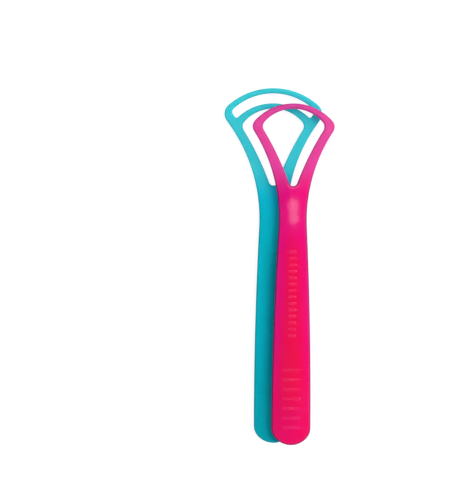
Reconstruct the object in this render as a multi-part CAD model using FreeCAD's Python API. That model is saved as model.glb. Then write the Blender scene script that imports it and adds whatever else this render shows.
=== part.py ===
import FreeCAD, Part
import itertools
import math
import os

from FreeCAD import Vector

# A loose pair of moulded tongue scrapers lying flat, the upper one fanned a little over the lower one.
# The lower scraper has two arched blades, the upper one has a single blade, and both share one handle.
# Millimetres. Each scraper is drawn from the round end of its handle, with +Y towards its head and +Z up.

# Plan of the handle
neck_from_end = 109.0       # from the round end to the narrowest place of the handle
neck_width = 13.4
handle_flare = 2.72         # how much further out each side is at the round end than at the neck
end_rise = 6.3              # height of the arc that rounds the end
end_corner_radius = 7.3

# Plan of the head that both scrapers share
fork_rise = 11.6            # from the neck to the sharp point that the throat is rounded from
throat_radius = 2.1
crown_rise = 56.0           # from the neck to the crown of the first blade
blade_rise = 11.0           # height of the first blade's arch above the corners of the head
head_half_width = 20.8      # to the sharp corner that is rounded off
head_corner_radius = 4.2
blade_band = 2.55           # width of the first blade at its crown
arm_tip_width = 5.2         # width of an arm at the corner of the head
arm_bow = 1.2               # how far the inner edge of an arm bows towards the window
window_corner_radius = 3.4

# Plan of the second blade of the double scraper
arm_extension = 7.95        # length that the arms run on past the first corners
slit_height = 4.9           # clear height between the two blades at the crown
outer_blade_band = 2.45
outer_corner_radius = 5.6
slit_wall = 4.3             # width of an arm beside the slit
slit_radius = 28.5          # of the arch over the slit
slit_corner_radius = 2.0
slit_tip_radius = 0.9

# Thickness
handle_thickness = 3.2
head_thickness = 1.6
blade_depth = 0.7           # how far a blade's edge stands below the arms, down to the handle's underside
blade_root = 1.2
blade_tip = 0.5
ramp_lead = 8.0             # the handle starts to thin this far before the neck
ramp_length = 22.0
top_round = 0.6
under_round = 0.35

# Raised grip on the upper face of each handle
grip_height = 0.3
rib_width = 1.4
rib_length = 9.0
rib_pitch = 4.6
rib_count = 7
ribs_from_end = 8.5
rung_width = 0.9
rung_length = 4.0
rung_pitch = 2.4
rung_count = 18
rungs_from_end = 52.5

# How the pair lies
fan_shift = 8.25            # sideways, at the handle's end
fan_angle = 0.55            # degrees, the upper head leaning to the right
end_shift = -0.5            # the upper handle's end past the lower one
rest_clearance = 0.05       # between the lower grip and the upper underside

# Sizes that follow from the ones above
neck_half = neck_width / 2
handle_half = neck_half + handle_flare
crown_y = neck_from_end + crown_rise
corner_y = crown_y - blade_rise
fork_y = neck_from_end + fork_rise
head_top = blade_depth + head_thickness
slit_crown_y = crown_y + slit_height
outer_crown_y = slit_crown_y + outer_blade_band
window_half_width = head_half_width - arm_tip_width
window_crown_y = crown_y - blade_band
ramp_start = neck_from_end - ramp_lead
ramp_end = ramp_start + ramp_length
grip_root = handle_thickness - head_thickness  # level inside the handle that the raised grip starts from
reach_past = handle_half    # how far the side profile goes past the plan
same_place = 1e-4           # points of the plan this close are one point
steep = 0.5                 # a face whose normal rises less than this is a wall


def flat(x, y):
    """A point of the plan."""
    return Vector(x, y, 0)


def line(start, end):
    """A straight edge."""
    return Part.LineSegment(start, end).toShape()


def arch(half_width, side_y, top_y):
    """An arc from the right corner over the axis to the left corner."""
    return Part.Arc(flat(half_width, side_y), flat(0, top_y), flat(-half_width, side_y)).toShape()


def arch_radius(half_width, rise):
    """Radius of an arch from its half width and its height."""
    return (half_width**2 + rise**2) / (2 * rise)


def arc_about(centre, start, end):
    """The shorter arc from start to end about a centre."""
    radius = start.distanceToPoint(centre)
    towards = (start + end) * 0.5 - centre
    return Part.Arc(start, centre + towards.normalize() * radius, end).toShape()


def s_curve(start, end, across):
    """Two equal tangent arcs from start to end, level at both, where across points from one level to the other."""
    chord = end - start
    radius = chord.dot(chord) / (4 * across.Length)
    towards = Vector(across).normalize() * radius
    middle = start + chord * 0.5
    return [arc_about(start + towards, start, middle), arc_about(end - towards, middle, end)]


def where_it_leaves(start, direction, circle_y, radius):
    """The point where a straight run leaves a circle that is centred on the axis."""
    offset = start - flat(0, circle_y)
    along = offset.dot(direction)
    return start + direction * (math.sqrt(along**2 - offset.dot(offset) + radius**2) - along)


def solid_of(wires, height):
    """A plate with this plan, standing on the surface."""
    return Part.makeFace(wires, "Part::FaceMakerBullseye").extrude(Vector(0, 0, height))


# The outer edge of an arm is one arc, upright at the neck, which reaches the corner of the head
neck_radius = arch_radius(corner_y - neck_from_end, head_half_width - neck_half)
arm_lean = math.asin((corner_y - neck_from_end) / neck_radius)
arm_direction = flat(math.sin(arm_lean), math.cos(arm_lean))
arm_inward = flat(-math.cos(arm_lean), math.sin(arm_lean))
first_corner = flat(head_half_width, corner_y)
outer_corner = first_corner + arm_direction * arm_extension
first_radius = arch_radius(head_half_width, blade_rise)

# The slit between two blades ends in a straight wall that runs beside the arm
slit_end = first_corner + arm_inward * slit_wall
slit_tip = where_it_leaves(slit_end, arm_direction, crown_y - first_radius, first_radius)
slit_corner = where_it_leaves(slit_end, arm_direction, slit_crown_y - slit_radius, slit_radius)


def mirrored(point):
    """The same point on the left side."""
    return flat(-point.x, point.y)


def flank(side):
    """One side of the outline, from the round end to the corner of the head, with side 1 or -1."""
    run = neck_from_end - end_rise
    side_radius = arch_radius(run, handle_flare) - neck_radius
    side_centre = flat(side * (handle_half - side_radius), end_rise)
    neck_centre = flat(side * (neck_half + neck_radius), neck_from_end)
    meeting = side_centre + (neck_centre - side_centre).normalize() * side_radius
    return [
        arc_about(side_centre, flat(side * handle_half, end_rise), meeting),
        arc_about(neck_centre, meeting, flat(side * head_half_width, corner_y)),
    ]


def outline(two_blades):
    """The outer wire of a scraper."""
    end_arc = Part.Arc(flat(-handle_half, end_rise), flat(0, 0), flat(handle_half, end_rise)).toShape()
    edges = [end_arc] + flank(1) + flank(-1)
    if two_blades:
        edges.append(line(first_corner, outer_corner))
        edges.append(line(mirrored(first_corner), mirrored(outer_corner)))
        edges.append(arch(outer_corner.x, outer_corner.y, outer_crown_y))
    else:
        edges.append(arch(head_half_width, corner_y, crown_y))
    return Part.Wire(Part.__sortEdges__(edges))


def window():
    """The opening between the arms, under the first blade."""
    fork = flat(0, fork_y)
    edges = [arch(window_half_width, corner_y, window_crown_y)]
    for side in (1, -1):
        corner = flat(side * window_half_width, corner_y)
        run = corner - fork
        bow = flat(run.y, -run.x).normalize() * (side * arm_bow)
        edges.append(Part.Arc(fork, fork + run * 0.5 - bow, corner).toShape())
    return Part.Wire(Part.__sortEdges__(edges))


def slit():
    """The opening between the two blades."""
    edges = [
        arch(slit_corner.x, slit_corner.y, slit_crown_y),
        arch(slit_tip.x, slit_tip.y, crown_y),
        line(slit_tip, slit_corner),
        line(mirrored(slit_tip), mirrored(slit_corner)),
    ]
    return Part.Wire(Part.__sortEdges__(edges))


def round_upright(solid, points, radius):
    """Rounds the upright edges that stand on these points of the plan and on their mirror images."""
    spots = points + [mirrored(point) for point in points]
    edges = []
    for edge in solid.Edges:
        low, high = edge.Vertexes[0].Point, edge.Vertexes[-1].Point
        foot = flat(low.x, low.y)
        upright = foot.isEqual(flat(high.x, high.y), same_place)
        if upright and any(foot.isEqual(spot, same_place) for spot in spots):
            edges.append(edge)
    return solid.makeFillet(radius, edges)


def narrowest_wall(plate):
    """The least distance between two edges of the plan, the outline and the openings."""
    wires = max(plate.Faces, key=lambda face: face.CenterOfMass.z).Wires
    return min(one.distToShape(other)[0] for one, other in itertools.combinations(wires, 2))


def side_profile(far_end, half_width):
    """A bar with the scraper's profile from the side: thick handle, sloped neck and thin head."""
    def at(y, z):
        return Vector(-half_width, y, z)

    top_step = Vector(0, 0, head_top - handle_thickness)
    under_step = Vector(0, 0, blade_depth)
    edges = [
        line(at(-reach_past, 0), at(ramp_start, 0)),
        *s_curve(at(ramp_start, 0), at(ramp_end, blade_depth), under_step),
        line(at(ramp_end, blade_depth), at(far_end, blade_depth)),
        line(at(far_end, blade_depth), at(far_end, head_top)),
        line(at(far_end, head_top), at(ramp_end, head_top)),
        *s_curve(at(ramp_end, head_top), at(ramp_start, handle_thickness), top_step * -1),
        line(at(ramp_start, handle_thickness), at(-reach_past, handle_thickness)),
        line(at(-reach_past, handle_thickness), at(-reach_past, 0)),
    ]
    return Part.Face(Part.Wire(edges)).extrude(Vector(2 * half_width, 0, 0))


def round_rims(solid, facing, radius):
    """Rounds the edges where the upright walls meet the faces that look up (facing 1) or down (facing -1)."""
    edges = []
    for edge in solid.Edges:
        middle = edge.valueAt((edge.FirstParameter + edge.LastParameter) / 2)
        rises = []
        for face in solid.ancestorsOfType(edge, Part.Face):
            rises.append(face.normalAt(*face.Surface.parameter(middle)).z * facing)
        beside_wall = min(abs(rise) for rise in rises) < steep
        if beside_wall and max(rises) > steep:
            edges.append(edge)
    return solid.makeFillet(radius, edges)


def blade_edge(crown, band, outer_radius, inner_radius, half_width):
    """The scraping edge under a blade: a wedge that follows the middle of the blade's arch."""
    radius = (outer_radius + inner_radius) / 2
    middle = crown - band / 2
    root_z = blade_depth + head_thickness / 2
    root = Part.makePolygon([
        Vector(0, middle - blade_tip / 2, 0),
        Vector(0, middle + blade_tip / 2, 0),
        Vector(0, middle + blade_root / 2, blade_depth),
        Vector(0, middle + blade_root / 2, root_z),
        Vector(0, middle - blade_root / 2, root_z),
        Vector(0, middle - blade_root / 2, blade_depth),
        Vector(0, middle - blade_tip / 2, 0),
    ])
    half_turn = math.degrees(math.asin(half_width / radius))
    axis_foot = flat(0, middle - radius)
    section = Part.Face(root)
    section.rotate(axis_foot, Vector(0, 0, 1), -half_turn)
    return section.revolve(axis_foot, Vector(0, 0, 1), 2 * half_turn)


def bar(y, length, width):
    """A raised bar across the handle, with round ends."""
    straight = (length - width) / 2
    half = width / 2
    edges = [
        line(flat(-straight, y - half), flat(straight, y - half)),
        Part.Arc(flat(straight, y - half), flat(straight + half, y), flat(straight, y + half)).toShape(),
        line(flat(straight, y + half), flat(-straight, y + half)),
        Part.Arc(flat(-straight, y + half), flat(-straight - half, y), flat(-straight, y - half)).toShape(),
    ]
    raised = solid_of([Part.Wire(edges)], handle_thickness + grip_height - grip_root)
    raised.translate(Vector(0, 0, grip_root))
    return raised


def grip():
    """The broad ribs under the thumb and the narrow rungs along the handle."""
    ribs = [bar(ribs_from_end + i * rib_pitch, rib_length, rib_width) for i in range(rib_count)]
    rungs = [bar(rungs_from_end + i * rung_pitch, rung_length, rung_width) for i in range(rung_count)]
    return ribs + rungs


def scraper(two_blades):
    """One scraper, lying on the surface with the round end of its handle at the origin."""
    head_corner = outer_corner if two_blades else first_corner
    far_end = outer_crown_y if two_blades else crown_y
    openings = [window(), slit()] if two_blades else [window()]
    plate = solid_of([outline(two_blades)] + openings, handle_thickness)
    plate = round_upright(plate, [flat(handle_half, end_rise)], end_corner_radius)
    plate = round_upright(plate, [head_corner], outer_corner_radius if two_blades else head_corner_radius)
    plate = round_upright(plate, [flat(window_half_width, corner_y)], window_corner_radius)
    plate = round_upright(plate, [flat(0, fork_y)], throat_radius)
    if two_blades:
        plate = round_upright(plate, [slit_corner], slit_corner_radius)
        plate = round_upright(plate, [slit_tip], slit_tip_radius)
    widest_round = narrowest_wall(plate) / 3  # so that a flat third of every wall stays between its two rims
    body = plate.common(side_profile(far_end + reach_past, head_corner.x + reach_past))
    body = round_rims(body, 1, min(top_round, widest_round))
    body = round_rims(body, -1, min(under_round, widest_round))
    window_radius = arch_radius(window_half_width, window_crown_y - corner_y)
    raised = grip() + [blade_edge(crown_y, blade_band, first_radius, window_radius, window_half_width)]
    if two_blades:
        outer_radius = arch_radius(outer_corner.x, outer_crown_y - outer_corner.y)
        raised.append(blade_edge(outer_crown_y, outer_blade_band, outer_radius, slit_radius, slit_corner.x))
    return body.fuse(raised)


def main():
    """Builds both scrapers, lays one on the other and writes each to its own file."""
    lower = scraper(two_blades=True)
    upper = scraper(two_blades=False)
    upper.rotate(flat(0, 0), Vector(0, 0, 1), -fan_angle)
    upper.translate(Vector(fan_shift, end_shift, handle_thickness + grip_height + rest_clearance))
    pair = {"double_blade_scraper": lower, "single_blade_scraper": upper}
    box = Part.makeCompound(list(pair.values())).optimalBoundingBox()
    to_origin = Vector(-box.Center.x, -box.Center.y, -box.ZMin)
    os.makedirs("parts", exist_ok=True)
    for name, shape in pair.items():
        shape.translate(to_origin)
        shape.exportStep(f"parts/{name}.step")


main()
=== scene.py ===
"""Looks of a loose pair of moulded tongue scrapers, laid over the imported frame, in metres.

Each scraper is one dense closed mesh: a plan of arcs, rings that round its rims, and two broad faces.
Geometry Nodes then raise the grip, sink the moulding marks and draw the scraping edges out of those faces.
A point of the plan is a complex number: its real part runs across the handle, its imaginary part along it.
"""
import cmath
import logging
import math
from dataclasses import dataclass, replace
from enum import Enum

import bpy
import numpy as np
from mathutils import Matrix, Vector
from mathutils.geometry import delaunay_2d_cdt


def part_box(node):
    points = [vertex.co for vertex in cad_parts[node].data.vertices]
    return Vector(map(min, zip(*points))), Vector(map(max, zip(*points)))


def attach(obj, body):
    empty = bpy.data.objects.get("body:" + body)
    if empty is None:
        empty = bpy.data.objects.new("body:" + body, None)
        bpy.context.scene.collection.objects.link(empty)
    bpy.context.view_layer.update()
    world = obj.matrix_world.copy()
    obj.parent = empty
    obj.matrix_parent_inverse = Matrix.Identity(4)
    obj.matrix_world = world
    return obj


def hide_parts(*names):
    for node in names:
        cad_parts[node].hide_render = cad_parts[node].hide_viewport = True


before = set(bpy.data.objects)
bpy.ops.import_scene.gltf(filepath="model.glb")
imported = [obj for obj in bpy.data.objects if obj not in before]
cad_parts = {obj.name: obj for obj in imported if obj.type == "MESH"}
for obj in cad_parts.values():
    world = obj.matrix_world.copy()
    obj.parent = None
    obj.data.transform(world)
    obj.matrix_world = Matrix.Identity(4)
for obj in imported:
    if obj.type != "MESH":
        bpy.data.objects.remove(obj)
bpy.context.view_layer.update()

FAR_AWAY = 100.0            # centre of a straight run, treated as an arc of this radius
SAME_PLACE = 1e-6           # points of a plan this close are one point
MERGE_REACH = 1e-9          # the filling of a face merges points only this close
NOISE_MIDDLE = 0.5          # mean value of a noise texture
log = logging.getLogger("tongue_scrapers")

Colour = tuple[float, float, float]
WHITE: Colour = (1.0, 1.0, 1.0)


class Face(Enum):
    """The two broad faces of a scraper, with the way that each looks along Z."""

    UPPER = 1
    LOWER = -1


class Head(Enum):
    """How many blades the head of a scraper carries."""

    ONE_BLADE = 1
    TWO_BLADES = 2


class Signal:
    """A node's output that takes part in Python expressions, each of which adds a Math node."""

    def __init__(self, sheet: "NodeSheet", socket: bpy.types.NodeSocket | None) -> None:
        """Keeps the output and the sheet that new nodes go on."""
        self.sheet = sheet
        self.socket = socket

    def math(self, operation: str, *others: "Signal | float", swapped: bool = False) -> "Signal":
        """Adds one Math node.

        Args:
            operation: the Math node's operation.
            others: what follows this signal in the operation.
            swapped: True where this signal comes last instead of first.

        Returns:
            The node's result.
        """
        terms = (*others, self) if swapped else (self, *others)
        return self.sheet.node("ShaderNodeMath", {"operation": operation}, dict(enumerate(terms)))

    def __add__(self, other: "Signal | float") -> "Signal":
        """The sum."""
        return self.math("ADD", other)

    def __sub__(self, other: "Signal | float") -> "Signal":
        """The difference."""
        return self.math("SUBTRACT", other)

    def __rsub__(self, other: float) -> "Signal":
        """A number less this signal."""
        return self.math("SUBTRACT", other, swapped=True)

    def __mul__(self, other: "Signal | float") -> "Signal":
        """The product."""
        return self.math("MULTIPLY", other)

    def __truediv__(self, other: "Signal | float") -> "Signal":
        """The quotient."""
        return self.math("DIVIDE", other)

    def __abs__(self) -> "Signal":
        """The size without the sign."""
        return self.math("ABSOLUTE")

    __radd__ = __add__
    __rmul__ = __mul__

    def between(self, low: "Signal | float", high: "Signal | float") -> "Signal":
        """The signal held between two limits."""
        return self.math("MAXIMUM", low).math("MINIMUM", high)


class NodeSheet:
    """A node tree of any kind, with one way to add a node."""

    def __init__(self, tree: bpy.types.NodeTree) -> None:
        """Starts from an empty tree."""
        self.tree = tree
        tree.nodes.clear()

    def node(self, kind: str, settings: dict | None = None, sockets: dict | None = None,
             output: int | str = 0) -> Signal:
        """Adds a node.

        Args:
            kind: the node's type.
            settings: properties of the node, set before its sockets.
            sockets: a value or a signal for each input, by name or number.
            output: which output to return, by name or number.

        Returns:
            That output as a signal.
        """
        made = self.tree.nodes.new(kind)
        for name, value in (settings or {}).items():
            setattr(made, name, value)
        for key, value in (sockets or {}).items():
            if isinstance(value, Signal):
                self.tree.links.new(value.socket, made.inputs[key])
            else:
                made.inputs[key].default_value = value
        return Signal(self, made.outputs[output]) if made.outputs else Signal(self, None)

    def tint(self, share: Signal, start: "Signal | Colour", end: "Signal | Colour") -> Signal:
        """Adds a mix of two colours.

        Args:
            share: 0 gives the start and 1 gives the end.
            start: the first colour.
            end: the second colour.

        Returns:
            The mixed colour.
        """
        ends = {6: start, 7: end}
        colours = {key: (*c, 1.0) if isinstance(c, tuple) else c for key, c in ends.items()}
        return self.node("ShaderNodeMix", {"data_type": "RGBA"}, {0: share, **colours}, output=2)

    def rise(self, signal: Signal, start: float, end: float) -> Signal:
        """A soft step from 0 at start to 1 at end."""
        return self.node("ShaderNodeMapRange", {"interpolation_type": "SMOOTHSTEP"},
                         {"Value": signal, "From Min": start, "From Max": end})


def linear(hexadecimal: str) -> Colour:
    """A display colour such as ff8000 as the linear light that shaders take."""
    shares = [int(hexadecimal[i:i + 2], 16) / 255 for i in (0, 2, 4)]
    return tuple(s / 12.92 if s <= 0.04045 else ((s + 0.055) / 1.055) ** 2.4 for s in shares)


@dataclass(frozen=True)
class Plastic:
    """A glossy, slightly translucent plastic, paler in the thin head, partly as painted light shining
    through it, and deeper inside the handle, with painted shade along its edges and a painted highlight on
    its raised marks.
    """

    name: str
    # the head's paler colour is partly painted light shining through the thin plastic
    head: Colour
    handle: Colour
    heart: Colour                   # deeper tone inside the handle, away from its edges; the teal's darker heart is partly painted shade from the pink over it
    rim: Colour                     # painted shade along the very edge, where the rounded rim turns from the light
    tail: Colour                    # at the handle's round end
    proud: Colour                   # painted highlight on top of the raised marks and the lip
    scatter: Colour                 # how far each colour of light travels inside, against the others
    pale_from: float = 0.117        # the head's paler colour, partly painted light shining through the thin plastic, comes in from here, from the handle's end
    pale_to: float = 0.136
    heart_from: float = 0.006       # the heart's colour comes in from here
    heart_to: float = 0.104         # and goes out again here
    heart_fade: float = 0.024
    heart_depth: float = 0.0075     # distance from the edge at which the heart's colour is full
    # painted shade along the edges: how far in it reaches and how strong it is
    edge_shade_depth: float = 0.0009
    edge_shade_share: float = 0.9
    edge_shade_loss: float = 0.6           # share of the painted edge shade that is lost in the thin head
    matt_depth: float = 0.0018      # the edge is duller up to here
    matt: float = 0.6               # how much rougher it is at the very edge
    tail_to: float = 0.075          # the colour of the round end goes out here
    flow_scale: float = 45.0        # of the soft clouds that the flowing melt leaves
    flow_detail: float = 3.0
    flow_swirl: float = 0.6
    flow_share: float = 0.25        # how far the clouds shift the colours
    flow_polish: float = 0.5        # how far they change the polish, against the grain
    grain_scale: float = 2600.0     # of the fine texture that the mould's polish leaves
    grain_detail: float = 2.0
    grain_height: float = 0.000003
    roughness: float = 0.1
    roughness_spread: float = 0.04
    smoothest: float = 0.05
    roughest: float = 0.9
    scatter_weight: float = 0.85
    scatter_reach: float = 0.004
    refraction: float = 1.46
    shine: float = 0.25             # of the mirror reflection, where 0.5 is the full one

    def material(self) -> bpy.types.Material:
        """Builds the material, which reads the mesh's along, from_edge and proud attributes, proud being the
        share of painted highlight on the raised marks.

        Returns:
            The new material.
        """
        made = bpy.data.materials.new(self.name)
        made.use_nodes = True
        sheet = NodeSheet(made.node_tree)
        place = sheet.node("ShaderNodeTexCoord", output="Object")
        along = sheet.node("ShaderNodeAttribute", {"attribute_name": "along"}, output="Fac")
        from_edge = sheet.node("ShaderNodeAttribute", {"attribute_name": "from_edge"}, output="Fac")
        proud = sheet.node("ShaderNodeAttribute", {"attribute_name": "proud"}, output="Fac")
        flow = sheet.node("ShaderNodeTexNoise", None, {
            "Vector": place, "Scale": self.flow_scale, "Detail": self.flow_detail,
            "Distortion": self.flow_swirl})
        grain = sheet.node("ShaderNodeTexNoise", None, {
            "Vector": place, "Scale": self.grain_scale, "Detail": self.grain_detail})
        cloud = (flow - NOISE_MIDDLE) * self.flow_share
        # paler towards the head: partly painted light shining through the thin plastic
        pale = (sheet.rise(along, self.pale_from, self.pale_to) + cloud).between(0.0, 1.0)
        come_in = sheet.rise(along, self.heart_from, self.heart_from + self.heart_fade)
        go_out = sheet.rise(along, self.heart_to - self.heart_fade, self.heart_to)
        # deeper tone inside the handle; on the teal it is partly painted shade
        heart = (sheet.rise(from_edge, 0.0, self.heart_depth) + cloud) * come_in * (1.0 - go_out)
        # painted shade along the edges, weaker in the thin head
        painted_edge_shade = 1.0 - sheet.rise(from_edge, 0.0, self.edge_shade_depth)
        rim = painted_edge_shade * (1.0 - pale * self.edge_shade_loss) * self.edge_shade_share
        handle = sheet.tint(sheet.rise(along, 0.0, self.tail_to), self.tail, self.handle)
        body = sheet.tint(pale, sheet.tint(heart.between(0.0, 1.0), handle, self.heart), self.head)
        # painted highlight on the raised marks, then painted shade along the edges, over the body's colour
        colour = sheet.tint(rim, sheet.tint(proud, body, self.proud), self.rim)
        polish = (flow - NOISE_MIDDLE) * self.flow_polish + (grain - NOISE_MIDDLE)
        dull = (1.0 - sheet.rise(from_edge, 0.0, self.matt_depth)) * self.matt
        roughness = polish * self.roughness_spread + self.roughness + dull
        relief = sheet.node("ShaderNodeBump", None, {
            "Strength": 1.0, "Distance": self.grain_height, "Height": grain}, output="Normal")
        shader = sheet.node("ShaderNodeBsdfPrincipled", {"subsurface_method": "RANDOM_WALK"}, {
            "Base Color": colour, "Roughness": roughness.between(self.smoothest, self.roughest),
            "Normal": relief, "IOR": self.refraction, "Specular IOR Level": self.shine,
            "Subsurface Weight": self.scatter_weight, "Subsurface Radius": self.scatter,
            "Subsurface Scale": self.scatter_reach})
        sheet.node("ShaderNodeOutputMaterial", None, {"Surface": shader})
        return made


@dataclass(frozen=True)
class Arc:
    """A round stretch of a plan, from start to end about a centre, the shorter way."""

    start: complex
    end: complex
    centre: complex

    @property
    def radius(self) -> float:
        """Distance from the centre."""
        return abs(self.start - self.centre)

    @property
    def turn(self) -> float:
        """Angle from start to end, positive anticlockwise."""
        return cmath.phase((self.end - self.centre) / (self.start - self.centre))

    def heading(self, points: "complex | np.ndarray") -> "complex | np.ndarray":
        """Direction of travel at points of the arc."""
        return 1j * math.copysign(1.0, self.turn) * (points - self.centre) / self.radius

    def sample(self, step: float, sharpest: float) -> np.ndarray:
        """Even points from the start, without the end.

        Args:
            step: the longest distance between points.
            sharpest: the largest angle between points.

        Returns:
            The points.
        """
        bend = abs(self.turn)
        count = math.ceil(max(bend * self.radius / step, bend / sharpest))
        return self.centre + (self.start - self.centre) * np.exp(1j * self.turn * np.arange(count) / count)


def arc_through(start: complex, middle: complex, end: complex) -> Arc:
    """The arc that passes three points."""
    ratio = (end - start) / (middle - start)
    return Arc(start, end, start + (middle - start) * (ratio - abs(ratio) ** 2) / (2j * ratio.imag))


def arch(half_width: float, side: float, top: float) -> Arc:
    """The arc from a right corner over the axis to the left corner."""
    return arc_through(complex(half_width, side), complex(0.0, top), complex(-half_width, side))


def straight(start: complex, end: complex) -> Arc:
    """A straight run, as an arc about a centre far to its left."""
    return Arc(start, end, (start + end) / 2 + 1j * FAR_AWAY * (end - start) / abs(end - start))


def mirrored(point: complex) -> complex:
    """The same point on the other side of the axis."""
    return -point.conjugate()


def reflected(arc: Arc) -> Arc:
    """The arc on the other side of the axis, travelled the other way."""
    return Arc(mirrored(arc.end), mirrored(arc.start), mirrored(arc.centre))


def arch_radius(half_width: float, rise: float) -> float:
    """Radius of an arch from its half width and its height."""
    return (half_width ** 2 + rise ** 2) / (2 * rise)


def leaves_circle(start: complex, heading: complex, centre: complex, radius: float) -> complex:
    """The point where a straight run from start leaves a circle."""
    offset = (start - centre) / heading
    return start + heading * (math.sqrt(radius ** 2 - offset.imag ** 2) - offset.real)


def round_corner(before: Arc, after: Arc, radius: float) -> tuple[Arc, Arc, Arc]:
    """Rounds the corner where one arc meets the next.

    Args:
        before: the arc that ends at the corner.
        after: the arc that starts there.
        radius: of the rounding.

    Returns:
        The first arc cut short, the rounding, and the second arc cut short.
    """
    corner = before.end
    left = math.copysign(1.0, (after.heading(corner) / before.heading(corner)).imag)
    reach = [arc.radius - radius * left * math.copysign(1.0, arc.turn) for arc in (before, after)]
    span = abs(after.centre - before.centre)
    along = (span ** 2 + reach[0] ** 2 - reach[1] ** 2) / (2 * span)
    aside = math.sqrt(reach[0] ** 2 - along ** 2)
    axis = (after.centre - before.centre) / span
    found = [before.centre + axis * complex(along, way * aside) for way in (1, -1)]
    middle = min(found, key=lambda spot: abs(spot - corner))
    first, last = (arc.centre + (middle - arc.centre) * arc.radius / abs(middle - arc.centre)
                   for arc in (before, after))
    return replace(before, end=first), Arc(first, last, middle), replace(after, start=last)


def rounded(run: list[tuple[Arc, float]]) -> list[Arc]:
    """Closes a loop of arcs and rounds its corners.

    Args:
        run: each arc with the radius of the corner at its end, or 0 where it runs on smoothly.

    Returns:
        The arcs with their roundings, in order.
    """
    arcs = [arc for arc, _ in run]
    corners: dict[int, Arc] = {}
    for i, (_, radius) in enumerate(run):
        if radius:
            j = (i + 1) % len(arcs)
            arcs[i], corners[i], arcs[j] = round_corner(arcs[i], arcs[j], radius)
    return [part for i, arc in enumerate(arcs) for part in (arc, corners.get(i)) if part]


def inside(loops: list[np.ndarray], points: np.ndarray) -> np.ndarray:
    """Which points lie inside the first loop and outside the openings.

    Args:
        loops: the closed loops of a plan.
        points: the points to try.

    Returns:
        A mask of the points.
    """
    odd = np.zeros(len(points), bool)
    for loop in loops:
        for a, b in zip(loop, np.roll(loop, -1)):
            spans = (a.imag > points.imag) != (b.imag > points.imag)
            if spans.any():
                at = a.real + (points.imag - a.imag) * (b.real - a.real) / (b.imag - a.imag)
                odd ^= spans & (points.real < at)
    return odd


def soft_step(values: np.ndarray, start: float, length: float) -> np.ndarray:
    """A step from 0 at the start to 1 after a length, made of two equal parabolas.

    Args:
        values: where to take the step's height.
        start: where the step begins.
        length: over which it rises.

    Returns:
        The heights.
    """
    share = np.clip((values - start) / length, 0.0, 1.0)
    return np.where(share < 0.5, 2 * share ** 2, 1 - 2 * (1 - share) ** 2)


@dataclass(frozen=True)
class Edge:
    """One closed edge of a plan, sampled, with the way into the plastic at each point."""

    points: np.ndarray
    inward: np.ndarray
    is_opening: bool


def sampled(arcs: list[Arc], is_opening: bool, step: float, sharpest: float) -> Edge:
    """Samples a loop that is travelled anticlockwise.

    Args:
        arcs: the loop.
        is_opening: True where the plastic lies outside the loop.
        step: the longest distance between points.
        sharpest: the largest angle between points.

    Returns:
        The sampled edge.
    """
    runs = [arc.sample(step, sharpest) for arc in arcs]
    headings = [arc.heading(run) for arc, run in zip(arcs, runs)]
    return Edge(np.concatenate(runs), np.concatenate(headings) * (-1j if is_opening else 1j), is_opening)


def new_input(tree: bpy.types.NodeTree, name: str, kind: str) -> None:
    """Gives a node group a named input."""
    tree.interface.new_socket(name, in_out="INPUT", socket_type=f"NodeSocket{kind}")


def relief_tree(name: str, sizes: list[str]) -> tuple[NodeSheet, dict[str, Signal]]:
    """Starts a tree that raises or sinks a part of one broad face.

    Args:
        name: of the tree.
        sizes: names of its own number inputs, besides the height, the side and the share of painted
            highlight.

    Returns:
        The sheet, and its inputs with the position as across and along, whether a point is on that face,
        and the share of painted highlight that it holds already.
    """
    tree = bpy.data.node_groups.new(name, "GeometryNodeTree")
    new_input(tree, "Geometry", "Geometry")
    new_input(tree, "Material", "Material")
    for size in (*sizes, "Height", "Side", "Highlight Share"):
        new_input(tree, size, "Float")
    tree.interface.new_socket("Geometry", in_out="OUTPUT", socket_type="NodeSocketGeometry")
    sheet = NodeSheet(tree)
    group = tree.nodes.new("NodeGroupInput")
    known = {socket.name: Signal(sheet, socket) for socket in group.outputs if socket.name}
    place = sheet.node("ShaderNodeSeparateXYZ", None, {0: sheet.node("GeometryNodeInputPosition")})
    split = place.socket.node.outputs
    known["across"], known["along"] = Signal(sheet, split["X"]), Signal(sheet, split["Y"])
    for name in ("face", "proud"):
        known[name] = sheet.node("GeometryNodeInputNamedAttribute", {"data_type": "FLOAT"}, {"Name": name})
    known["on face"] = (known["face"] * known["Side"]).math("GREATER_THAN", 0.5)
    return sheet, known


def finish_relief(sheet: NodeSheet, known: dict[str, Signal], swell: Signal) -> bpy.types.NodeTree:
    """Ends a relief tree: moves the points, notes the share of painted highlight on their tops and sets the
    material.

    Args:
        sheet: the tree's sheet.
        known: its inputs.
        swell: the share of the full height that each point takes, whatever face it is on.

    Returns:
        The tree.
    """
    share = swell * known["on face"]
    offset = sheet.node("ShaderNodeCombineXYZ", None, {"Z": share * known["Height"] * known["Side"]})
    # proud sums the share of painted highlight on top of the raised marks
    proud = known["proud"] + share * known["Highlight Share"]
    moved = sheet.node("GeometryNodeSetPosition", None, {"Geometry": known["Geometry"], "Offset": offset})
    noted = sheet.node("GeometryNodeStoreNamedAttribute", {"data_type": "FLOAT", "domain": "POINT"},
                       {"Geometry": moved, "Name": "proud", "Value": proud})
    whole = sheet.node("GeometryNodeRealizeInstances", None, {"Geometry": noted})
    dressed = sheet.node("GeometryNodeSetMaterial", None, {"Geometry": whole, "Material": known["Material"]})
    sheet.node("NodeGroupOutput", None, {0: dressed})
    return sheet.tree


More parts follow.
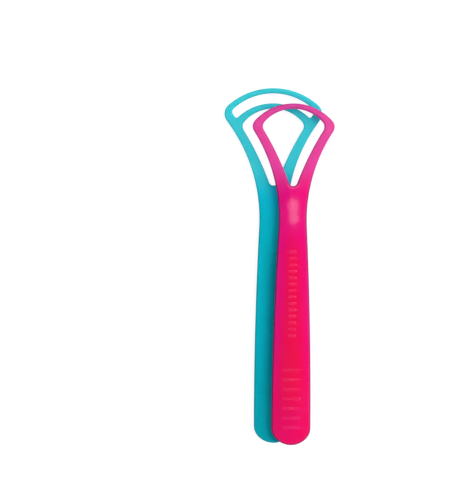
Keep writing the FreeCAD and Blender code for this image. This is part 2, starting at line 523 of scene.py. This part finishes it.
def raised_row_tree() -> bpy.types.NodeTree:
    """The tree that raises or sinks a row of round-ended bars.

    Returns:
        The tree.
    """
    sheet, at = relief_tree("raised_row", ["First", "Pitch", "Last", "Length", "Width", "Flatness"])
    count = ((at["along"] - at["First"]) / at["Pitch"]).math("ROUND").between(0.0, at["Last"])
    aside = at["along"] - at["First"] - count * at["Pitch"]
    half = at["Width"] * 0.5
    beyond = (abs(at["across"]) - (at["Length"] * 0.5 - half)).math("MAXIMUM", 0.0)
    away = (aside * aside + beyond * beyond) / (half * half)
    return finish_relief(sheet, at, ((1.0 - away) * at["Flatness"]).between(0.0, 1.0))


def ridge_tree() -> bpy.types.NodeTree:
    """The tree that draws a ridge out of a face, along an arch.

    Returns:
        The tree.
    """
    sheet, at = relief_tree("ridge", ["Centre", "Radius", "Facing", "Half Turn", "Root", "Tip", "Run Out"])
    up = (at["along"] - at["Centre"]) * at["Facing"]
    reach = (at["across"] * at["across"] + up * up).math("SQRT")
    slope = (at["Root"] * 0.5 - abs(reach - at["Radius"])) / ((at["Root"] - at["Tip"]) * 0.5)
    angle = abs(at["across"].math("ARCTAN2", up))
    ending = (at["Half Turn"] - angle) * at["Radius"] / at["Run Out"]
    return finish_relief(sheet, at, slope.between(0.0, 1.0) * ending.between(0.0, 1.0))


def add_relief(piece: bpy.types.Object, tree: bpy.types.NodeTree, values: dict[str, object]) -> None:
    """Puts a tree on a piece and sets its named inputs.

    Args:
        piece: the object.
        tree: the Geometry Nodes tree.
        values: a value for each named input.
    """
    modifier = piece.modifiers.new(tree.name, "NODES")
    modifier.node_group = tree
    for item in tree.interface.items_tree:
        if item.in_out == "INPUT" and item.name in values:
            modifier[item.identifier] = values[item.name]


@dataclass(frozen=True)
class RaisedRow:
    """A row of equal round-ended bars along a handle, raised, or sunk where the height is negative."""

    face: Face
    first: float                # from the handle's end to the first bar
    pitch: float
    count: int
    length: float               # across the handle
    width: float
    height: float
    flatness: float = 1.0       # 1 makes a dome, more makes a flat top with steep sides
    highlight_share: float = 0.0       # share of the painted highlight on top
    mesh_step: float = 0.0006
    contours: tuple[float, ...] = (0.0, 0.3, 0.55, 0.75, 0.88, 0.96, 1.0, 1.12)   # shares of the half width
    end_points: int = 11

    def footprint(self) -> np.ndarray:
        """Points of the plan that the bars need, on contours about each bar.

        Returns:
            The points.
        """
        half = self.width / 2
        reach = self.length / 2 - half
        around = np.exp(1j * np.linspace(-math.pi / 2, math.pi / 2, self.end_points))
        tips = reach + half * np.outer(self.contours, around).ravel()
        runs = np.linspace(-reach, reach, 2 + math.ceil(2 * reach / self.mesh_step))[1:-1]
        levels = half * np.array([way * share for share in self.contours for way in (1, -1)])
        middle = (runs[:, None] + 1j * levels).ravel() if reach > SAME_PLACE else np.empty(0, complex)
        bar = np.concatenate([tips, -tips, middle])
        rows = self.first + self.pitch * np.arange(self.count)
        return (bar + 1j * rows[:, None]).ravel()

    def clears(self, points: np.ndarray, margin: float) -> np.ndarray:
        """Which points lie off every bar by at least a margin.

        Args:
            points: places in the plan.
            margin: the distance to keep from a bar's last contour.

        Returns:
            A mask of the points.
        """
        row = np.clip(np.round((points.imag - self.first) / self.pitch), 0, self.count - 1)
        aside = points.imag - self.first - row * self.pitch
        beyond = np.maximum(np.abs(points.real) - (self.length - self.width) / 2, 0.0)
        return np.hypot(aside, beyond) > self.contours[-1] * self.width / 2 + margin

    def values(self, material: bpy.types.Material) -> dict[str, object]:
        """Inputs of the raised row's tree."""
        return {"Material": material, "First": self.first, "Pitch": self.pitch, "Last": self.count - 1.0,
                "Length": self.length, "Width": self.width, "Height": self.height,
                "Flatness": self.flatness, "Highlight Share": self.highlight_share, "Side": float(self.face.value)}


@dataclass(frozen=True)
class Ridge:
    """A ridge along an arch of a face: the scraping edge under a blade, or the lip round the throat."""

    face: Face
    centre: float               # of the arch, from the handle's end
    radius: float
    half_turn: float
    height: float
    facing: int = 1             # 1 where the arch bulges away from the handle, -1 towards it
    root: float = 0.0012
    tip: float = 0.0005
    run_out: float = 0.003      # over which each end of the ridge sinks into the face
    highlight_share: float = 0.0       # share of the painted highlight on top
    mesh_step: float = 0.0006
    crease: float = 0.00003     # between the rows of points that keep a crease crisp

    def footprint(self) -> np.ndarray:
        """Points of the plan that the ridge needs, in rows along the arch.

        Returns:
            The points.
        """
        folds = [self.root / 2, self.tip / 2]
        levels = [0.0] + [way * (fold + nudge) for fold in folds for way in (1, -1)
                          for nudge in (-self.crease, 0.0, self.crease)]
        count = math.ceil(2 * self.half_turn * self.radius / self.mesh_step)
        turns = self.facing * math.pi / 2 + np.linspace(-self.half_turn, self.half_turn, count)
        return (1j * self.centre + np.outer(self.radius + np.array(levels), np.exp(1j * turns))).ravel()

    def clears(self, points: np.ndarray, margin: float) -> np.ndarray:
        """Which points lie off the ridge by at least a margin."""
        return np.abs(np.abs(points - 1j * self.centre) - self.radius) > self.root / 2 + margin

    def values(self, material: bpy.types.Material) -> dict[str, object]:
        """Inputs of the ridge's tree."""
        return {"Material": material, "Centre": self.centre, "Radius": self.radius, "Root": self.root,
                "Facing": float(self.facing), "Half Turn": self.half_turn, "Tip": self.tip,
                "Height": self.height, "Run Out": self.run_out, "Side": float(self.face.value),
                "Highlight Share": self.highlight_share}


@dataclass(frozen=True)
class Relief:
    """The Geometry Nodes trees that both scrapers share."""

    raised_row: bpy.types.NodeTree
    ridge: bpy.types.NodeTree


class MeshDraft:
    """Points, faces and point attributes of a mesh while it is put together."""

    def __init__(self) -> None:
        """Starts empty."""
        self.points: list[np.ndarray] = []
        self.depths: list[np.ndarray] = []
        self.faces_up: list[np.ndarray] = []
        self.polygons: list[tuple[int, ...]] = []
        self.count = 0

    def add(self, plan: np.ndarray, heights: np.ndarray, depth: np.ndarray, looks: int) -> np.ndarray:
        """Adds points.

        Args:
            plan: their places in the plan.
            heights: their heights.
            depth: their distances from the nearest edge of the plan.
            looks: 1 on the upper face, -1 on the lower face, 0 on the wall between.

        Returns:
            The numbers of the new points.
        """
        self.points.append(np.column_stack([plan.real, plan.imag, heights]))
        self.depths.append(depth)
        self.faces_up.append(np.full(len(plan), float(looks)))
        self.count += len(plan)
        return np.arange(self.count - len(plan), self.count)

    def strip(self, upper: np.ndarray, lower: np.ndarray, flip: bool) -> None:
        """Joins two closed rings of equal length with quads, turned round where flip is set."""
        corners = np.column_stack([upper, lower, np.roll(lower, -1), np.roll(upper, -1)])
        self.polygons.extend(map(tuple, corners[:, ::-1] if flip else corners))

    def mesh(self, name: str) -> bpy.types.Mesh:
        """Makes the finished mesh, smooth, with the attributes that the trees and the material read.

        Args:
            name: of the mesh.

        Returns:
            The mesh.
        """
        points = np.concatenate(self.points)
        made = bpy.data.meshes.new(name)
        made.from_pydata(points.tolist(), [], [tuple(int(i) for i in p) for p in self.polygons])
        # proud holds the share of painted highlight, none until the relief adds it
        values = {"along": points[:, 1], "from_edge": np.concatenate(self.depths),
                  "face": np.concatenate(self.faces_up), "proud": np.zeros(len(points))}
        for attribute, numbers in values.items():
            data = made.attributes.new(attribute, "FLOAT", "POINT").data
            data.foreach_set("value", numbers.astype(np.float32))
        made.shade_smooth()
        return made


@dataclass
class Scraper:
    """One moulded scraper, drawn from the round end of its handle and laid over its CAD node."""

    name: str
    node: str
    slot: str
    head: Head
    finish: Plastic
    lean: float = 0.0                       # degrees that the head leans to the right
    mark_height: float = 0.0001             # of the raised ribs and rungs

    # Plan of the handle
    neck_from_end: float = 0.109            # to the narrowest place
    neck_half: float = 0.0067
    handle_half: float = 0.00942            # at the round end
    end_rise: float = 0.0063                # height of the arc that rounds the end
    end_corner: float = 0.0073

    # Plan of the head
    fork_from_end: float = 0.1206           # to the sharp point that the throat is rounded from
    throat: float = 0.0021
    crown_from_end: float = 0.165           # to the top of the first blade
    corner_from_end: float = 0.154
    head_half: float = 0.0208
    head_corner: float = 0.0042
    blade_band: float = 0.00255
    arm_tip: float = 0.0052                 # width of an arm at the corner of the head
    arm_bow: float = 0.0012                 # how far an arm's inner edge bows towards the window
    window_corner: float = 0.0034

    # Plan of the second blade
    arm_extension: float = 0.00795
    slit_height: float = 0.0049
    outer_band: float = 0.00245
    outer_corner: float = 0.0056
    slit_wall: float = 0.0043               # width of an arm beside the slit
    slit_radius: float = 0.0285
    slit_corner: float = 0.002
    slit_tip: float = 0.0009

    # Thickness
    handle_top: float = 0.0032
    head_top: float = 0.0023
    head_under: float = 0.0007
    ramp_from_end: float = 0.101            # the handle starts to thin here
    ramp_length: float = 0.022
    dome_radius: float = 0.100              # of the slightly domed upper face of the handle
    dome_until: float = 0.112               # the dome starts to flatten here
    dome_fade: float = 0.018
    rim_fade: float = 0.040                 # over which the rims change from the handle's to the head's
    handle_rim_width: float = 0.0007
    handle_rim_drop: float = 0.0006
    head_rim: float = 0.0005
    handle_under_rim: float = 0.0006
    head_under_rim: float = 0.00035
    lip_inset: float = 0.0011               # from the throat's edge to the middle of the lip round it
    lip_height: float = 0.0001
    # share of painted highlight along the top of the lip
    lip_highlight_share: float = 0.8
    parting_line: float = 0.000025          # how far the line between the mould halves stands out
    parting_level: float = 0.5              # share of the wall's height at which it runs
    parting_reach: float = 0.12             # share of the wall's height over which it swells and fades

    # Density of the mesh
    edge_step: float = 0.0007
    sharpest: float = math.radians(9.0)
    rim_steps: int = 7
    under_steps: int = 4
    grid_step: float = 0.0009

    def first_corner(self) -> complex:
        """The sharp right corner of the first blade."""
        return complex(self.head_half, self.corner_from_end)

    def neck_radius(self) -> float:
        """Radius of an arm's outer edge, which is upright at the neck and reaches the corner of the head."""
        return arch_radius(self.corner_from_end - self.neck_from_end, self.head_half - self.neck_half)

    def arm_heading(self) -> complex:
        """Direction of an arm at the corner of the head."""
        lean = math.asin((self.corner_from_end - self.neck_from_end) / self.neck_radius())
        return 1j * cmath.exp(-1j * lean)

    def flank(self) -> list[Arc]:
        """Draws the right side of the outline.

        Returns:
            The handle's side and the arm's outer edge, from the round end to the corner of the head.
        """
        run = self.neck_from_end - self.end_rise
        side_radius = arch_radius(run, self.handle_half - self.neck_half) - self.neck_radius()
        side_centre = complex(self.handle_half - side_radius, self.end_rise)
        neck_centre = complex(self.neck_half + self.neck_radius(), self.neck_from_end)
        across = neck_centre - side_centre
        meeting = side_centre + across / abs(across) * side_radius
        return [Arc(complex(self.handle_half, self.end_rise), meeting, side_centre),
                Arc(meeting, self.first_corner(), neck_centre)]

    def first_arch(self) -> Arc:
        """The outer edge of the first blade."""
        return arch(self.head_half, self.corner_from_end, self.crown_from_end)

    def window_arch(self) -> Arc:
        """The inner edge of the first blade."""
        crown = self.crown_from_end - self.blade_band
        return arch(self.head_half - self.arm_tip, self.corner_from_end, crown)

    def outer_arch(self) -> Arc:
        """The outer edge of the second blade."""
        corner = self.first_corner() + self.arm_heading() * self.arm_extension
        return arch(corner.real, corner.imag, self.slit_crown() + self.outer_band)

    def slit_crown(self) -> float:
        """The top of the slit between two blades, from the handle's end."""
        return self.crown_from_end + self.slit_height

    def slit_ends(self) -> tuple[complex, complex]:
        """Finds where the wall of the slit meets its two arches.

        Returns:
            The lower and the upper right corner of the slit.
        """
        heading = self.arm_heading()
        wall = self.first_corner() + 1j * heading * self.slit_wall
        first = self.first_arch()
        lower = leaves_circle(wall, heading, first.centre, first.radius)
        upper = leaves_circle(wall, heading, 1j * (self.slit_crown() - self.slit_radius), self.slit_radius)
        return lower, upper

    def outline(self) -> list[Arc]:
        """Draws the outer edge.

        Returns:
            Its arcs, anticlockwise from the left of the round end.
        """
        right = complex(self.handle_half, self.end_rise)
        end = arc_through(mirrored(right), 0j, right)
        side, arm = self.flank()
        if self.head is Head.TWO_BLADES:
            top = self.outer_arch()
            run = straight(self.first_corner(), top.start)
            crown = [(arm, 0.0), (run, self.outer_corner), (top, self.outer_corner), (reflected(run), 0.0)]
        else:
            crown = [(arm, self.head_corner), (self.first_arch(), self.head_corner)]
        return rounded([(end, self.end_corner), (side, 0.0), *crown, (reflected(arm), 0.0),
                        (reflected(side), self.end_corner)])

    def window(self) -> list[Arc]:
        """Draws the opening between the arms.

        Returns:
            Its arcs, anticlockwise from the fork.
        """
        fork = 1j * self.fork_from_end
        top = self.window_arch()
        run = top.start - fork
        bowed = arc_through(fork, fork + run / 2 + 1j * run / abs(run) * self.arm_bow, top.start)
        return rounded([(bowed, self.window_corner), (top, self.window_corner),
                        (reflected(bowed), self.throat)])

    def slit(self) -> list[Arc]:
        """Draws the opening between two blades.

        Returns:
            Its arcs, anticlockwise from its lower right corner.
        """
        lower, upper = self.slit_ends()
        wall = straight(lower, upper)
        top = Arc(upper, mirrored(upper), 1j * (self.slit_crown() - self.slit_radius))
        bottom = Arc(mirrored(lower), lower, self.first_arch().centre)
        return rounded([(wall, self.slit_corner), (top, self.slit_corner), (reflected(wall), self.slit_tip),
                        (bottom, self.slit_tip)])

    def edges(self) -> list[Edge]:
        """Samples the plan.

        Returns:
            The outline, followed by the openings.
        """
        openings = [self.window(), self.slit()] if self.head is Head.TWO_BLADES else [self.window()]
        made = [sampled(self.outline(), False, self.edge_step, self.sharpest)]
        return made + [sampled(loop, True, self.edge_step, self.sharpest) for loop in openings]

    def rows(self) -> list[RaisedRow]:
        """Lays out the marks that the mould leaves on the handle.

        Returns:
            The broad ribs under the thumb, the narrow rungs along the handle, and the ejector marks beneath.
        """
        return [
            # each row's highlight share paints a highlight on the tops of its marks
            RaisedRow(Face.UPPER, first=0.0085, pitch=0.0046, count=7, length=0.009, width=0.0014,
                      height=self.mark_height, highlight_share=0.05),
            RaisedRow(Face.UPPER, first=0.0528, pitch=0.0031, count=14, length=0.004, width=0.0014,
                      height=self.mark_height, flatness=2.0, highlight_share=0.17),
            RaisedRow(Face.LOWER, first=0.016, pitch=0.036, count=3, length=0.005, width=0.005,
                      height=-0.00012, flatness=9.0),
        ]

    def ridges(self) -> list[Ridge]:
        """Lays out the lip round the throat and the scraping edges.

        Returns:
            The lip, and an edge for each blade.
        """
        outer, inner = self.first_arch(), self.window_arch()
        bands = [(outer.radius, inner.radius, self.crown_from_end - self.blade_band / 2, inner.start.real)]
        if self.head is Head.TWO_BLADES:
            middle = self.slit_crown() + self.outer_band / 2
            bands.append((self.outer_arch().radius, self.slit_radius, middle, self.slit_ends()[1].real))
        throat = self.window()[-1]
        made = [Ridge(Face.UPPER, throat.centre.imag, throat.radius + self.lip_inset, abs(throat.turn) / 2,
                      self.lip_height, facing=-1, run_out=self.throat / 2, highlight_share=self.lip_highlight_share)]
        for outside, within, middle, half_width in bands:
            radius = (outside + within) / 2
            half_turn = math.asin(half_width / radius)
            made.append(Ridge(Face.LOWER, middle - radius, radius, half_turn, self.head_under))
        return made

    def rim(self, along: np.ndarray, face: Face) -> tuple[np.ndarray, np.ndarray]:
        """Sizes of the rounded rim, which goes from the handle's to the head's.

        Args:
            along: distances from the handle's end.
            face: the face that the rim belongs to.

        Returns:
            The rim's widths and its heights.
        """
        share = soft_step(along, self.ramp_from_end, self.rim_fade)
        if face is Face.UPPER:
            width = self.handle_rim_width + (self.head_rim - self.handle_rim_width) * share
            return width, self.handle_rim_drop + (self.head_rim - self.handle_rim_drop) * share
        under = self.handle_under_rim + (self.head_under_rim - self.handle_under_rim) * share
        return under, under

    def level(self, plan: np.ndarray, depth: "np.ndarray | float", face: Face) -> np.ndarray:
        """Heights of a face.

        Args:
            plan: places in the plan.
            depth: their distances from the nearest edge.
            face: the upper or the lower face.

        Returns:
            The heights.
        """
        ramp = soft_step(plan.imag, self.ramp_from_end, self.ramp_length)
        width, drop = self.rim(plan.imag, face)
        share = 1.0 - np.clip(depth / width, 0.0, 1.0)
        rounding = drop * (1.0 - np.sqrt(1.0 - share ** 2))
        if face is Face.LOWER:
            return self.head_under * ramp + rounding
        flattening = soft_step(plan.imag, self.dome_until, self.dome_fade)
        dome = plan.real ** 2 / (2 * self.dome_radius) * (1.0 - flattening)
        return self.handle_top + (self.head_top - self.handle_top) * ramp - dome - rounding

    def add_points(self, draft: MeshDraft, plan: np.ndarray, depth: np.ndarray, face: Face) -> np.ndarray:
        """Adds points of a face to the mesh."""
        return draft.add(plan, self.level(plan, depth, face), depth, face.value)

    def add_rim(self, draft: MeshDraft, edge: Edge, face: Face, steps: int) -> list[np.ndarray]:
        """Adds the rings of a rounded rim.

        Args:
            draft: the mesh.
            edge: the edge that is rounded.
            face: the face that the rim belongs to.
            steps: how many rings follow the first.

        Returns:
            The rings, from the edge inwards.
        """
        width, _ = self.rim(edge.points.imag, face)
        shares = 1.0 - np.cos(np.linspace(0.0, math.pi / 2, steps + 1))
        return [self.add_points(draft, edge.points + edge.inward * width * share, width * share, face)
                for share in shares]

    def add_wall(self, draft: MeshDraft, edge: Edge, top: np.ndarray,
                 bottom: np.ndarray) -> list[np.ndarray]:
        """Adds the upright wall between two rims, with the fine line where the mould parts.

        Args:
            draft: the mesh.
            edge: the edge that the wall stands on.
            top: the upper rim's first ring.
            bottom: the lower rim's first ring.

        Returns:
            The wall's rings, from the top down.
        """
        high, low = (self.level(edge.points, 0.0, face) for face in (Face.UPPER, Face.LOWER))
        rings = []
        for step, proud in ((1, 0.0), (0, self.parting_line), (-1, 0.0)):
            plan = edge.points - edge.inward * proud
            share = self.parting_level + step * self.parting_reach
            rings.append(draft.add(plan, low + (high - low) * share, np.zeros(len(plan)), 0))
        return [top, *rings, bottom]

    def add_face(self, draft: MeshDraft, rings: list[np.ndarray], edges: list[Edge], face: Face) -> None:
        """Fills a broad face between its innermost rings.

        Args:
            draft: the mesh.
            rings: the innermost ring of each edge, as point numbers.
            edges: the edges of the plan.
            face: the face to fill.
        """
        loops = [edge.points + edge.inward * self.rim(edge.points.imag, face)[0] for edge in edges]
        extra, away = self.face_points(loops, face)
        depth = away + self.rim(extra.imag, face)[0]
        numbers = np.concatenate([*rings, self.add_points(draft, extra, depth, face)])
        plan = np.concatenate([*loops, extra])
        segments, start = [], 0
        for loop in loops:
            segments += [(start + i, start + (i + 1) % len(loop)) for i in range(len(loop))]
            start += len(loop)
        spots = [Vector((p.real, p.imag)) for p in plan]
        _, _, found, origins, _, _ = delaunay_2d_cdt(spots, segments, [], 0, MERGE_REACH)
        triangles = np.array([[origins[i][0] for i in triangle] for triangle in found])
        kept = triangles[inside(loops, plan[triangles].mean(axis=1))]
        draft.polygons.extend(map(tuple, numbers[kept if face is Face.UPPER else kept[:, ::-1]]))

    def face_points(self, loops: list[np.ndarray], face: Face) -> tuple[np.ndarray, np.ndarray]:
        """Points inside a face: a grid, and what the relief needs.

        Args:
            loops: the innermost rings of the face.
            face: the face.

        Returns:
            The points, and their distances from the nearest ring.
        """
        reliefs = [relief for relief in (*self.rows(), *self.ridges()) if relief.face is face]
        half = self.outer_arch().start.real
        across = np.arange(-half, half, self.grid_step)
        along = np.arange(0.0, self.slit_crown() + self.outer_band, self.grid_step)
        grid = (across + 1j * along[:, None]).ravel()
        grid = grid[inside(loops, grid)]
        for relief in reliefs:
            grid = grid[relief.clears(grid, self.grid_step / 3)]
        points = np.concatenate([grid, *(relief.footprint() for relief in reliefs)])
        places = np.round(points / SAME_PLACE)
        points = points[np.unique(places, return_index=True)[1]]
        border = np.concatenate(loops)
        away = np.array([np.abs(border - point).min() for point in points])
        kept = inside(loops, points) & (away > self.edge_step / 4)
        return points[kept], away[kept]

    def build(self, relief: Relief) -> bpy.types.Object:
        """Makes the scraper's mesh and lays it over its CAD node.

        Args:
            relief: the trees that raise the grip and draw the blades.

        Returns:
            The finished piece.
        """
        draft = MeshDraft()
        edges = self.edges()
        inner_top, inner_bottom = [], []
        for edge in edges:
            upper = self.add_rim(draft, edge, Face.UPPER, self.rim_steps)
            lower = self.add_rim(draft, edge, Face.LOWER, self.under_steps)
            rings = upper[:0:-1] + self.add_wall(draft, edge, upper[0], lower[0]) + lower[1:]
            for ring, following in zip(rings, rings[1:]):
                draft.strip(ring, following, edge.is_opening)
            inner_top.append(upper[-1])
            inner_bottom.append(lower[-1])
        self.add_face(draft, inner_top, edges, Face.UPPER)
        self.add_face(draft, inner_bottom, edges, Face.LOWER)
        return self.place(self.with_relief(draft.mesh(self.name), relief))

    def with_relief(self, mesh: bpy.types.Mesh, relief: Relief) -> bpy.types.Mesh:
        """Runs the Geometry Nodes over a mesh.

        Args:
            mesh: the smooth body.
            relief: the trees.

        Returns:
            The mesh with its grip, marks and scraping edges, in the scraper's material.
        """
        material = self.finish.material()
        blank = bpy.data.objects.new(f"{self.name}_blank", mesh)
        bpy.context.scene.collection.objects.link(blank)
        for row in self.rows():
            add_relief(blank, relief.raised_row, row.values(material))
        for ridge in self.ridges():
            add_relief(blank, relief.ridge, ridge.values(material))
        depsgraph = bpy.context.evaluated_depsgraph_get()
        made = bpy.data.meshes.new_from_object(blank.evaluated_get(depsgraph), preserve_all_data_layers=True,
                                               depsgraph=depsgraph)
        bpy.data.objects.remove(blank)
        made.name = self.name
        return made

    def place(self, mesh: bpy.types.Mesh) -> bpy.types.Object:
        """Turns a mesh as the scraper lies and moves it over the CAD node.

        Args:
            mesh: the finished mesh, drawn from the handle's end.

        Returns:
            The piece, whose place is in its mesh.
        """
        mesh.transform(Matrix.Rotation(-math.radians(self.lean), 4, "Z"))
        points = np.array([vertex.co for vertex in mesh.vertices])
        low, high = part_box(self.node)
        middle = (low + high) / 2
        own_middle = (points.min(axis=0) + points.max(axis=0)) / 2
        mesh.transform(Matrix.Translation((middle.x - own_middle[0], middle.y - own_middle[1],
                                           low.z - points[:, 2].min())))
        piece = bpy.data.objects.new(self.name, mesh)
        bpy.context.scene.collection.objects.link(piece)
        return piece

    def dress(self, piece: bpy.types.Object) -> None:
        """Puts the piece in its node's stead and on its body.

        Args:
            piece: the finished piece.
        """
        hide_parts(self.node)
        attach(piece, self.node)


@dataclass(frozen=True)
class SunPanel:
    """A broad soft light that is far away."""

    name: str
    azimuth: float              # degrees, 0 towards +X and 90 towards the heads
    elevation: float
    strength: float
    spread: float               # degrees across

    def build(self) -> None:
        """Adds the light to the scene."""
        light = bpy.data.lights.new(self.name, "SUN")
        light.energy = self.strength
        light.angle = math.radians(self.spread)
        panel = bpy.data.objects.new(self.name, light)
        turn, rise = math.radians(self.azimuth), math.radians(self.elevation)
        towards = Vector((math.cos(turn) * math.cos(rise), math.sin(turn) * math.cos(rise), math.sin(rise)))
        panel.rotation_euler = towards.to_track_quat("Z", "Y").to_euler()
        bpy.context.scene.collection.objects.link(panel)


@dataclass
class Studio:
    """A pale floor lit from beneath, soft light and a camera straight above, framed as the photograph is."""

    photo_width: int = 450
    photo_height: int = 500
    handle_end_column: float = 273.4        # pixel of the lower handle's end, on its axis
    handle_end_row: float = 442.95
    metres_per_pixel: float = 0.165 / 340
    camera_height: float = 0.55
    level: float = 0.003                    # height at which the scale holds
    sensor: float = 36.0                    # millimetres, along the longer side
    nearest: float = 0.01                   # the camera sees from here
    farthest: float = 50.0
    floor_half: float = 6.0
    floor_gap: float = 0.00005              # keeps the floor off the undersides that rest on it
    floor_colour: Colour = (0.25, 0.25, 0.25)
    floor_roughness: float = 0.9
    floor_shine: float = 0.1
    floor_glow: float = 0.85
    sky_low: float = 0.4                    # brightness of the surround at the horizon
    sky_high: float = 0.02                  # and overhead

    def build(self) -> None:
        """Builds the stage."""
        self.add_floor()
        self.add_sky()
        for panel in (
            SunPanel("key_panel", azimuth=8.0, elevation=38.0, strength=2.6, spread=50.0),
            SunPanel("left_panel", azimuth=170.0, elevation=50.0, strength=0.5, spread=50.0),
            SunPanel("head_panel", azimuth=80.0, elevation=55.0, strength=0.5, spread=45.0),
            SunPanel("foot_panel", azimuth=275.0, elevation=50.0, strength=0.35, spread=50.0),
            SunPanel("neck_panel", azimuth=65.7, elevation=80.2, strength=0.05, spread=5.5),
        ):
            panel.build()
        self.add_camera()
        bpy.context.scene.view_settings.view_transform = "Standard"

    def add_floor(self) -> None:
        """Adds the plain pale floor, which glows a little as a light table does."""
        half, level = self.floor_half, -self.floor_gap
        corners = [(-half, -half, level), (half, -half, level), (half, half, level), (-half, half, level)]
        mesh = bpy.data.meshes.new("floor")
        mesh.from_pydata(corners, [], [(0, 1, 2, 3)])
        floor = bpy.data.objects.new("floor", mesh)
        bpy.context.scene.collection.objects.link(floor)
        material = bpy.data.materials.new("pale_floor")
        material.use_nodes = True
        sheet = NodeSheet(material.node_tree)
        shader = sheet.node("ShaderNodeBsdfPrincipled", None, {
            "Base Color": (*self.floor_colour, 1.0), "Roughness": self.floor_roughness,
            "Specular IOR Level": self.floor_shine, "Emission Color": (*WHITE, 1.0),
            "Emission Strength": self.floor_glow})
        sheet.node("ShaderNodeOutputMaterial", None, {"Surface": shader})
        mesh.materials.append(material)

    def add_sky(self) -> None:
        """Adds a surround that looks white, and is dark overhead so that the plastic keeps its colour."""
        world = bpy.data.worlds.new("surround")
        world.use_nodes = True
        sheet = NodeSheet(world.node_tree)
        seen = sheet.node("ShaderNodeLightPath", output="Is Camera Ray")
        way = sheet.node("ShaderNodeTexCoord", output="Generated")
        height = sheet.node("ShaderNodeSeparateXYZ", None, {0: way}, output="Z").between(0.0, 1.0)
        glow = height * (self.sky_high - self.sky_low) + self.sky_low
        fill = sheet.node("ShaderNodeBackground", None, {"Color": (*WHITE, 1.0), "Strength": glow})
        white = sheet.node("ShaderNodeBackground", None, {"Color": (*WHITE, 1.0), "Strength": 1.0})
        both = sheet.node("ShaderNodeMixShader", None, {0: seen, 1: fill, 2: white})
        sheet.node("ShaderNodeOutputWorld", None, {"Surface": both})
        bpy.context.scene.world = world

    def add_camera(self) -> None:
        """Adds the camera, which looks straight down at the middle of the photograph's frame."""
        low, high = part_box("double_blade_scraper")
        right = (self.photo_width / 2 - self.handle_end_column) * self.metres_per_pixel
        up = (self.handle_end_row - self.photo_height / 2) * self.metres_per_pixel
        camera = bpy.data.cameras.new("camera")
        camera.sensor_width = self.sensor
        camera.lens = self.sensor * self.camera_height / (self.photo_height * self.metres_per_pixel)
        camera.clip_start, camera.clip_end = self.nearest, self.farthest
        view = bpy.data.objects.new("camera", camera)
        view.location = ((low.x + high.x) / 2 + right, low.y + up, self.level + self.camera_height)
        bpy.context.scene.collection.objects.link(view)
        bpy.context.scene.camera = view


# In both finishes the rim colour is painted shade along the edges, the proud colour a painted highlight on
# the raised marks, the head colour partly painted light shining through the thin plastic, and the teal's
# darker heart partly painted shade from the pink laid over it.
TEAL = Plastic("teal_moulding", head=linear("42c8cc"), handle=linear("00bcca"), heart=linear("00a4b6"),
               rim=linear("007c8c"), tail=linear("00adba"), proud=linear("10bed2"),
               scatter=(0.15, 0.75, 1.0), roughness=0.4, shine=0.06)
PINK = Plastic("pink_moulding", head=linear("dc49a2"), handle=linear("e61084"), heart=linear("ec1456"),
               rim=linear("74065a"), edge_shade_depth=0.0013, tail=linear("ea106a"), proud=linear("fc4896"),
               scatter=(1.0, 0.35, 0.7), pale_from=0.12, heart_to=0.11)


def main() -> None:
    logging.basicConfig(level=logging.INFO, format="%(name)s: %(message)s")
    relief = Relief(raised_row_tree(), ridge_tree())
    scrapers = [
        Scraper("teal_double_scraper", "double_blade_scraper", "teal_plastic", Head.TWO_BLADES, TEAL,
                mark_height=0.00006),
        Scraper("pink_single_scraper", "single_blade_scraper", "pink_plastic", Head.ONE_BLADE, PINK,
                lean=0.55),
    ]
    for scraper in scrapers:
        piece = scraper.build(relief)
        scraper.dress(piece)
        log.info("%s: %d points, %d faces", piece.name, len(piece.data.vertices), len(piece.data.polygons))
    Studio().build()


if __name__ == "__main__":
    main()
